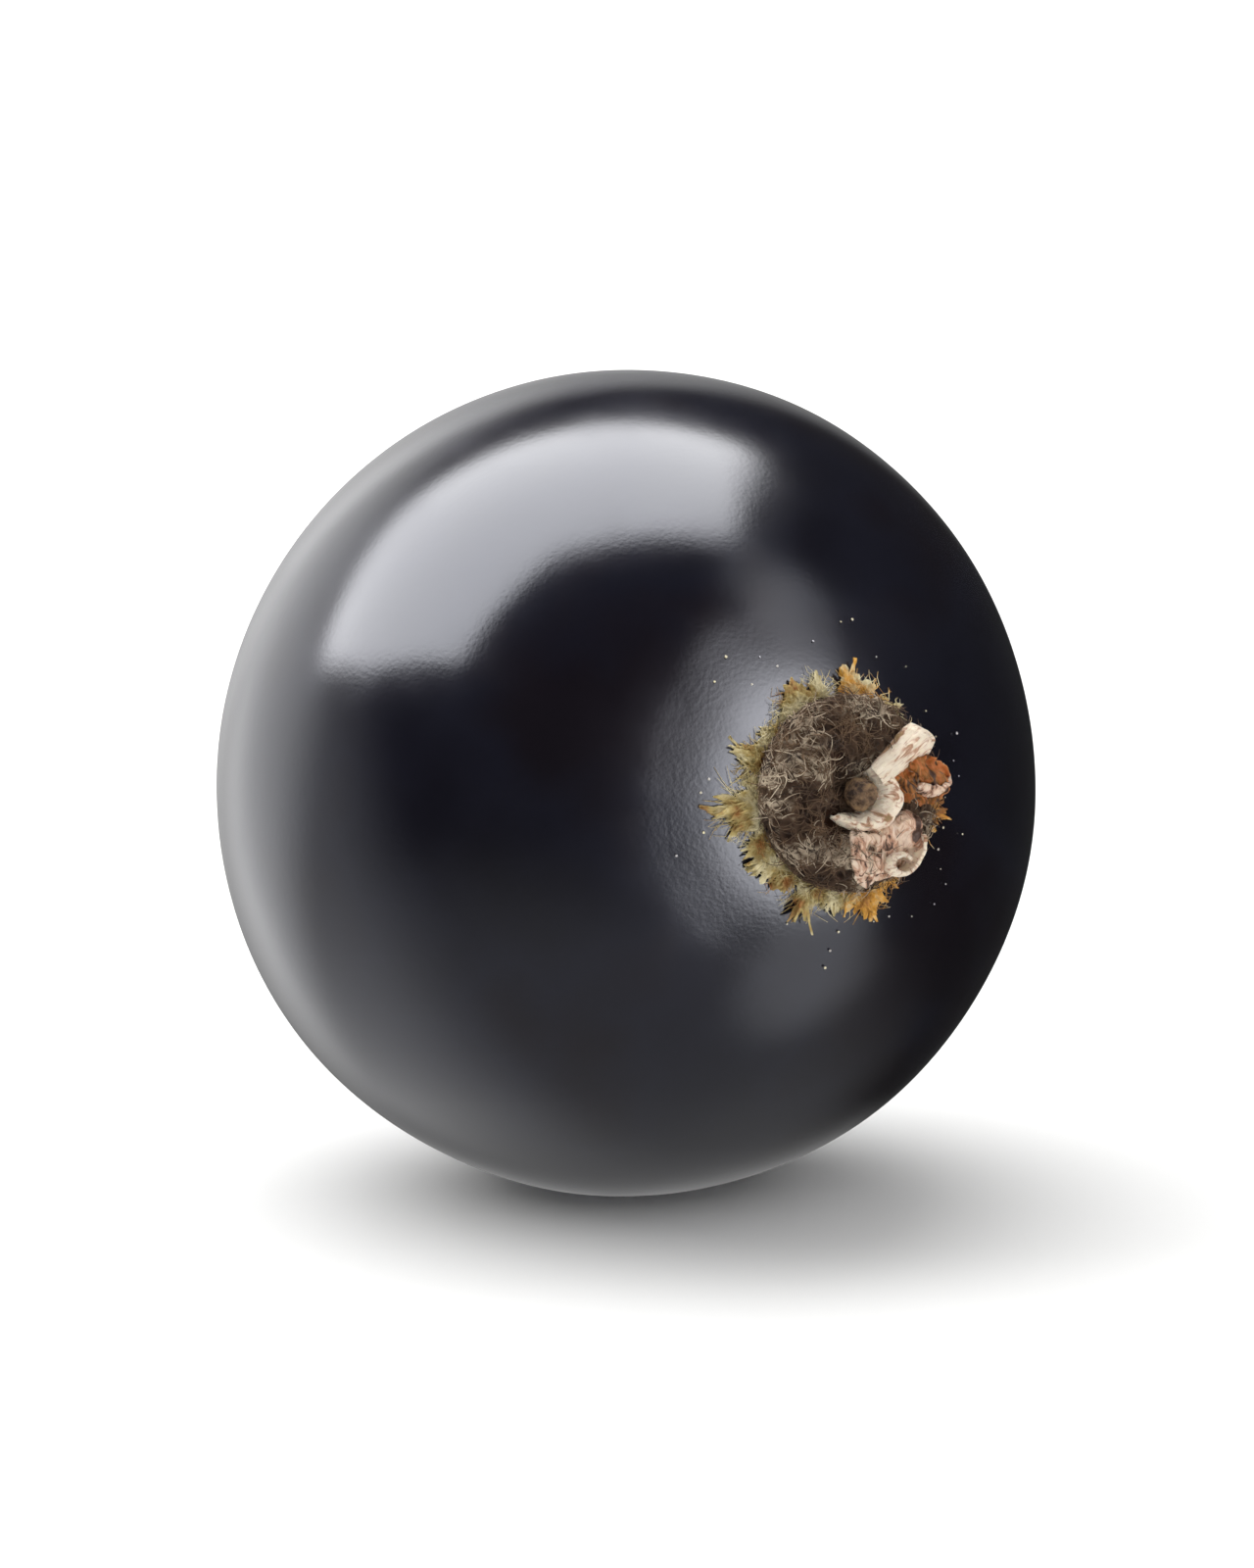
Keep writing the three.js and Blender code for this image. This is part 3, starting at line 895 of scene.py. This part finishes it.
class CURRANT_OT_collar(bpy.types.Operator):
    """Build the golden scales and hairs round the foot"""

    bl_idname = "currant.collar"
    bl_label = "Golden collar"

    def execute(self, context):
        fruit, flower, colours = settings(context)
        chance = random.Random(COLLAR_SEED)
        dull = (colours.ochre, colours.olive, colours.straw)
        bright = (colours.ochre, colours.gold, colours.straw)
        width = flower.hair_width / MM
        for tone, tufts, shades, share, replaced in (
                ("pale", PALE_TUFTS, dull, 0.7, ("scaly_collar",)),
                ("warm", WARM_TUFTS, bright, 0.3, ())):
            scales = flakes_shape(fruit, flower, chance, tufts, int(flower.scales * share))
            hairs = tuft_hairs(fruit, flower, chance, tufts, int(flower.tuft_hairs * share))
            finish_piece(scales, f"{tone}_scales", fruit,
                         golden_scale_tissue(f"{tone}_scale_tissue", *shades), "scales", *replaced)
            finish_piece(hairs_from(hairs, width), f"{tone}_tuft_hairs", fruit,
                         golden_scale_tissue(f"{tone}_plant_hair", *shades), "scales")
        return {"FINISHED"}


class CURRANT_OT_sepals(bpy.types.Operator):
    """Build the withered sepals and petals"""

    bl_idname = "currant.sepals"
    bl_label = "Sepals and petals"

    def execute(self, context):
        fruit, flower, colours = settings(context)
        thickness = flower.sheet_thickness / MM
        cream = withered_sepal_tissue(
            "bleached_sepal_tissue", colours.cream, colours.blush_and_painted_shade, colours.tan, 0.2)
        pink = withered_sepal_tissue(
            "withered_sepal_tissue", colours.petal_pink, colours.blush_and_painted_shade, colours.painted_shade_umber, 0.7)
        rust = withered_sepal_tissue(
            "withered_petal_tissue", colours.rust, colours.ochre, colours.painted_shade_umber, 1.0)
        for name, rows, crumple, seed, tissue, slot, replaced in (
                ("lower_sepal", LOWER_SEPAL, 0.08, 11, pink, "sepal", ("sepal_lower",)),
                ("lower_sepal_loop", LOWER_LOOP, 0.02, 16, cream, "sepal", ()),
                ("upper_sepal", UPPER_SEPAL, 0.03, 11, cream, "sepal", ("sepal_upper",)),
                ("cream_crest", CREST, 0.03, 11, cream, "sepal", ("sepal_crest",)),
                ("rust_petals", RUST_PETALS, 0.14, 11, rust, "petal", ("petal_rust",)),
                ("petal_edge", PETAL_EDGE, 0.05, 10, pink, "sepal", ())):
            shape = sheet_shape(rows, fruit, thickness, crumple, seed)
            finish_piece(shape, name, fruit, tissue, slot, *replaced)
        return {"FINISHED"}


class CURRANT_OT_style(bpy.types.Operator):
    """Build the dried style and the stalk's scar"""

    bl_idname = "currant.style"
    bl_label = "Style and stalk scar"

    def execute(self, context):
        fruit, flower, colours = settings(context)
        tissue = dry_style_tissue(colours)
        finish_piece(style_shape(fruit, flower), "dried_style", fruit, tissue,
                     "style", "style_stump")
        finish_piece(scar_shape(fruit), "stalk_scar", fruit, tissue, "style")
        return {"FINISHED"}


class CURRANT_OT_glands(bpy.types.Operator):
    """Scatter beads of resin on the skin round the flower"""

    bl_idname = "currant.glands"
    bl_label = "Resin glands"

    def execute(self, context):
        fruit, flower, colours = settings(context)
        beads = bead_shape(fruit, random.Random(GLAND_SEED), flower.glands)
        finish_piece(beads, "resin_beads", fruit, gland_resin(colours), "scales")
        return {"FINISHED"}


# ------------------------------------------------------------------ stage, light and camera
VIEW_AZIMUTH = math.radians(-31.9)
VIEW_ELEVATION = math.radians(13.2)
VIEW_DISTANCE = 0.5
VIEW_WIDTH = 0.0187  # what the picture spans at the berry
FLOOR_REACH = 6.0  # from the middle of the floor to its edges
# The contact card is a painted shadow: it glows at this level, and only the shine sees it.
CARD_LEVEL = 0.4  # radiance, in the shine, of the table close to the berry
CARD_RADIUS = 0.005
CARD_CORE = 0.4  # share of the radius that the card covers fully
CARD_LIFT = 0.0001
WALL_LIGHT = 0.75  # what the white walls give to dull surfaces
DIM_WALLS = 0.03  # what the darkest walls look like in the shine
# Directions below are as the camera sees them: right, up and towards the camera.
# The lamp that lights dull surfaces, and the direction that its longer side runs in.
KEY_TOWARD = (-0.426, 0.882, -0.234)
KEY_ALONG = (0.944, 0.279, -0.161)
KEY_DISTANCE = 0.6
KEY_SIZE = (1.96 * KEY_DISTANCE, 1.3 * KEY_DISTANCE)
KEY_RADIANCE = 2.3
# The softbox in the shine: its middle, its long side and its radiance.
SOFTBOX_TOWARD = (-0.366, 0.93, -0.016)
SOFTBOX_ALONG = (0.923, 0.361, -0.134)
SOFTBOX_RADIANCE = 11.5
SOFTBOX_HORIZON = 0.2  # it fades out where the cosine to its middle is below this
# How far its sides lie from its middle, and how soft each is, with its distance as 1.
SOFTBOX_RIGHT = (1.0, 0.25)
SOFTBOX_LEFT = (1.0, 0.18)
SOFTBOX_FAR = (0.5, 0.25)
SOFTBOX_NEAR = (0.42, 0.16)
SOFTBOX_SLANT = 0.42  # how fast the left side draws in towards the near side
SOFTBOX_SAG = 0.375  # how fast the near side comes nearer towards the left
SOFTBOX_SAG_FROM = 0.1  # where it starts to, counted to the right
# Round patches in the shine: middle, inner and outer degrees, and radiance.
GLOWS = (
    ((-0.68, 0.19, -0.71), 18, 45, 1.5),  # the pale left edge
    ((-0.78, -0.25, -0.57), 26, 66, 1.05),  # the left edge, lower down
    ((-0.1, -0.99, 0.09), 34, 74, 0.55),  # the table, in the lower half
    ((-0.16, 0.31, -0.94), 8, 24, 1.3),  # the rim along the top
    ((0.6, 0.42, 0.68), 8, 22, 3.0),  # above the flower, on its left
    ((0.56, 0.77, 0.3), 3, 13, 1.2),  # the hook at the highlight's right end
    ((0.69, 0.65, 0.32), 3, 15, 1.7),  # the tip of the hook
    ((0.72, -0.66, 0.2), 5, 24, 1.4),  # below the flower
)
# The reflector in front on the right, whose glow lies round the flower.
REFLECTOR = ((0.79, -0.03, 0.612), 36, 42, 10.5)
# Shades, whose last value is the share that they take: at the reflector's far end, and behind
# the berry, so that its outline stays darker than the white room.
FAR_END = ((0.97, -0.05, 0.2), 2, 34, 0.8)
BEHIND = ((0.0, 0.0, -1.0), 12, 42, 0.65)


def view_axes():
    """Right, up and towards the camera, for someone at the camera."""
    turn, rise = VIEW_AZIMUTH, VIEW_ELEVATION
    right = Vector((math.cos(turn), math.sin(turn), 0))
    towards = Vector((math.sin(turn) * math.cos(rise), -math.cos(turn) * math.cos(rise),
                      math.sin(rise)))
    return right, towards.cross(right), towards


def seen_from_camera(right, up, towards):
    """A direction in the scene from one given as the camera sees it."""
    axes = view_axes()
    return (axes[0] * right + axes[1] * up + axes[2] * towards).normalized()


def floor(colours):
    """The pale board that the berry lies on. What shines doesn't mirror it."""
    bm = bmesh.new()
    bmesh.ops.create_grid(bm, x_segments=1, y_segments=1, size=FLOOR_REACH)
    mesh = bpy.data.meshes.new("floor")
    bm.to_mesh(mesh)
    bm.free()
    mesh.materials.append(matte_floor_paint(colours))
    board = bpy.data.objects.new("floor", mesh)
    bpy.context.scene.collection.objects.link(board)
    board.visible_glossy = False


def painted_shadow_card():
    """Painted shadow: a card that glows as dim as a table in the berry's shade. It is seen by its
    own faint light, and it thins out to nothing at its edge."""
    material, where = new_material("painted_shadow_card")
    away = add(material, "VectorMath", {0: where}, operation="LENGTH")
    cover = add(material, "MapRange", {
        "Value": away.outputs["Value"], "From Min": CARD_RADIUS,
        "From Max": CARD_CORE * CARD_RADIUS}, interpolation_type="SMOOTHSTEP")
    return surface(material, {
        "Base Color": (0, 0, 0, 1), "Specular IOR Level": 0.0, "Alpha": cover,
        "Emission Color": (CARD_LEVEL, CARD_LEVEL, CARD_LEVEL, 1.0), "Emission Strength": 1.0})


def painted_contact_shadow():
    """A painted reflection of the shaded table under the berry: a grey disc that glows, seen only
    in the shine, fading out into the mirrored room."""
    bm = bmesh.new()
    place = Matrix.Translation((0, 0, CARD_LIFT))
    bmesh.ops.create_circle(bm, cap_ends=True, segments=48, radius=CARD_RADIUS, matrix=place)
    mesh = bpy.data.meshes.new("painted_contact_shadow")
    bm.to_mesh(mesh)
    bm.free()
    mesh.materials.append(painted_shadow_card())
    card = bpy.data.objects.new("painted_contact_shadow", mesh)
    bpy.context.scene.collection.objects.link(card)
    for ray in ("camera", "diffuse", "transmission", "shadow"):
        setattr(card, "visible_" + ray, False)


def softbox(target):
    """The softbox overhead, as dull surfaces are lit by it. The walls hold its mirror image."""
    lamp = bpy.data.lights.new("softbox", "AREA")
    lamp.shape = "RECTANGLE"
    lamp.size, lamp.size_y = KEY_SIZE
    lamp.energy = KEY_RADIANCE * math.pi * KEY_SIZE[0] * KEY_SIZE[1]
    box = bpy.data.objects.new("softbox", lamp)
    bpy.context.scene.collection.objects.link(box)
    towards = seen_from_camera(*KEY_TOWARD)
    across = towards.cross(seen_from_camera(*KEY_ALONG)).normalized()
    turn = Matrix((across.cross(towards), across, towards)).transposed().to_4x4()
    box.matrix_world = Matrix.Translation(target + towards * KEY_DISTANCE) @ turn
    box.visible_camera = False
    box.visible_glossy = False


def glow(world, direction, toward, inner, outer, radiance):
    """A round patch of light: full within inner degrees of its middle, gone at outer."""
    facing = add(world, "VectorMath", {
        0: direction, 1: seen_from_camera(*toward)}, operation="DOT_PRODUCT")
    return add(world, "MapRange", {
        "Value": facing.outputs["Value"], "From Min": math.cos(math.radians(outer)),
        "From Max": math.cos(math.radians(inner)), "To Max": radiance},
        interpolation_type="SMOOTHSTEP")


def shaded(world, direction, light, shade):
    """Light with a round patch taken out of it."""
    taken = glow(world, direction, *shade)
    kept = add(world, "Math", {0: 1.0, 1: taken}, operation="SUBTRACT")
    return add(world, "Math", {0: light, 1: kept}, operation="MULTIPLY")


def softbox_sides(world, direction):
    """Where a ray meets the softbox's plane, as (place, (limit, softness)) for its four sides,
    and how squarely the ray runs at that plane."""
    square = Vector(SOFTBOX_TOWARD).cross(Vector(SOFTBOX_ALONG))
    ahead, across, away = (
        add(world, "VectorMath", {0: direction, 1: seen_from_camera(*axis)},
            operation="DOT_PRODUCT").outputs["Value"]
        for axis in (SOFTBOX_TOWARD, SOFTBOX_ALONG, square))
    right = add(world, "Math", {0: across, 1: ahead}, operation="DIVIDE")
    far = add(world, "Math", {0: away, 1: ahead}, operation="DIVIDE")
    near = add(world, "Math", {0: far, 1: -1.0}, operation="MULTIPLY")
    nearer = add(world, "Math", {0: near, 1: 0.0}, operation="MAXIMUM")
    slant = add(world, "Math", {0: nearer, 1: SOFTBOX_SLANT}, operation="MULTIPLY")
    left = add(world, "Math", {0: slant, 1: right}, operation="SUBTRACT")
    past = add(world, "Math", {0: SOFTBOX_SAG_FROM, 1: right}, operation="SUBTRACT")
    lefter = add(world, "Math", {0: past, 1: 0.0}, operation="MAXIMUM")
    sag = add(world, "Math", {0: lefter, 1: SOFTBOX_SAG}, operation="MULTIPLY")
    front = add(world, "Math", {0: near, 1: sag}, operation="SUBTRACT")
    return ahead, ((right, SOFTBOX_RIGHT), (left, SOFTBOX_LEFT), (far, SOFTBOX_FAR),
                   (front, SOFTBOX_NEAR))


def softbox_seen(world, direction):
    """The softbox as it looks from the berry: a sheet of light with soft edges, which sags
    nearer to the berry's front at its left end."""
    ahead, sides = softbox_sides(world, direction)
    light = add(world, "MapRange", {
        "Value": ahead, "From Max": SOFTBOX_HORIZON, "To Max": SOFTBOX_RADIANCE},
        interpolation_type="SMOOTHSTEP")
    for place, (limit, softness) in sides:
        inside = add(world, "MapRange", {
            "Value": place, "From Min": limit + softness / 2, "From Max": limit - softness / 2},
            interpolation_type="SMOOTHSTEP")
        light = add(world, "Math", {0: light, 1: inside}, operation="MULTIPLY")
    return light


def mirrored_room(world, direction):
    """What the shine mirrors: dim walls, a table that is brighter on the left, a softbox
    overhead and a reflector in front on the right."""
    light = softbox_seen(world, direction)
    for patch in GLOWS:
        light = add(world, "Math", {0: light, 1: glow(world, direction, *patch)},
                    operation="ADD")
    reflector = shaded(world, direction, glow(world, direction, *REFLECTOR), FAR_END)
    light = add(world, "Math", {0: light, 1: reflector}, operation="ADD")
    light = shaded(world, direction, light, BEHIND)
    return add(world, "Math", {0: light, 1: DIM_WALLS}, operation="ADD")


def studio_walls(context):
    """A white room for the eye and for dull surfaces, and the mirrored room for the shine."""
    world = bpy.data.worlds.new("studio_walls")
    world.use_nodes = True
    world.node_tree.nodes.clear()
    direction = add(world, "TexCoord").outputs["Generated"]
    path = add(world, "LightPath").outputs
    dull = add(world, "Mix", {
        "Factor": path["Is Glossy Ray"], "A": WALL_LIGHT, "B": mirrored_room(world, direction)},
        data_type="FLOAT")
    seen = add(world, "Mix", {
        "Factor": path["Is Camera Ray"], "A": dull, "B": 1.0}, data_type="FLOAT")
    background = add(world, "Background", {"Color": (1, 1, 1, 1), "Strength": seen})
    add(world, "OutputWorld", {"Surface": background})
    context.scene.world = world


def camera(context, target):
    """A long lens on the berry."""
    data = bpy.data.cameras.new("camera")
    data.sensor_fit = "HORIZONTAL"
    data.lens = data.sensor_width * VIEW_DISTANCE / VIEW_WIDTH
    data.clip_start = 0.01
    towards = view_axes()[2]
    eye = bpy.data.objects.new("camera", data)
    eye.location = target + towards * VIEW_DISTANCE
    eye.rotation_euler = towards.to_track_quat("Z", "Y").to_euler()
    context.scene.collection.objects.link(eye)
    context.scene.camera = eye


class CURRANT_OT_stage(bpy.types.Operator):
    """Set the pale floor, the lit room, the softbox and the camera"""

    bl_idname = "currant.stage"
    bl_label = "Stage"

    def execute(self, context):
        fruit, _, colours = settings(context)
        middle = Vector((0, 0, fruit.height * MM))
        floor(colours)
        studio_walls(context)
        softbox(middle)
        painted_contact_shadow()
        camera(context, middle)
        context.scene.view_settings.view_transform = "Standard"
        return {"FINISHED"}


class CURRANT_PT_panel(bpy.types.Panel):
    """Sizes, colours and pieces of the berry"""

    bl_idname = "CURRANT_PT_panel"
    bl_label = "Blackcurrant"
    bl_space_type = "VIEW_3D"
    bl_region_type = "UI"
    bl_category = "Blackcurrant"

    def draw(self, context):
        for group in (context.scene.currant_fruit, context.scene.currant_flower,
                      context.scene.currant_colours):
            box = self.layout.box()
            for name in group.__annotations__:
                box.prop(group, name)
        for operator in OPERATORS:
            self.layout.operator(operator.bl_idname)


# ------------------------------------------------------------------ the add-on
GROUPS = {
    "currant_fruit": FruitSizes,
    "currant_flower": FlowerSizes,
    "currant_colours": FruitColours,
}
OPERATORS = (
    CURRANT_OT_skin,
    CURRANT_OT_felt,
    CURRANT_OT_collar,
    CURRANT_OT_sepals,
    CURRANT_OT_style,
    CURRANT_OT_glands,
    CURRANT_OT_stage,
)


def register():
    for name, group in GROUPS.items():
        bpy.utils.register_class(group)
        setattr(bpy.types.Scene, name, PointerProperty(type=group))
    for cls in (*OPERATORS, CURRANT_PT_panel):
        bpy.utils.register_class(cls)


def unregister():
    for cls in (CURRANT_PT_panel, *reversed(OPERATORS)):
        bpy.utils.unregister_class(cls)
    for name, group in GROUPS.items():
        delattr(bpy.types.Scene, name)
        bpy.utils.unregister_class(group)


def main():
    register()
    for operator in OPERATORS:
        category, name = operator.bl_idname.split(".")
        getattr(getattr(bpy.ops, category), name)()


if __name__ == "__main__":
    main()
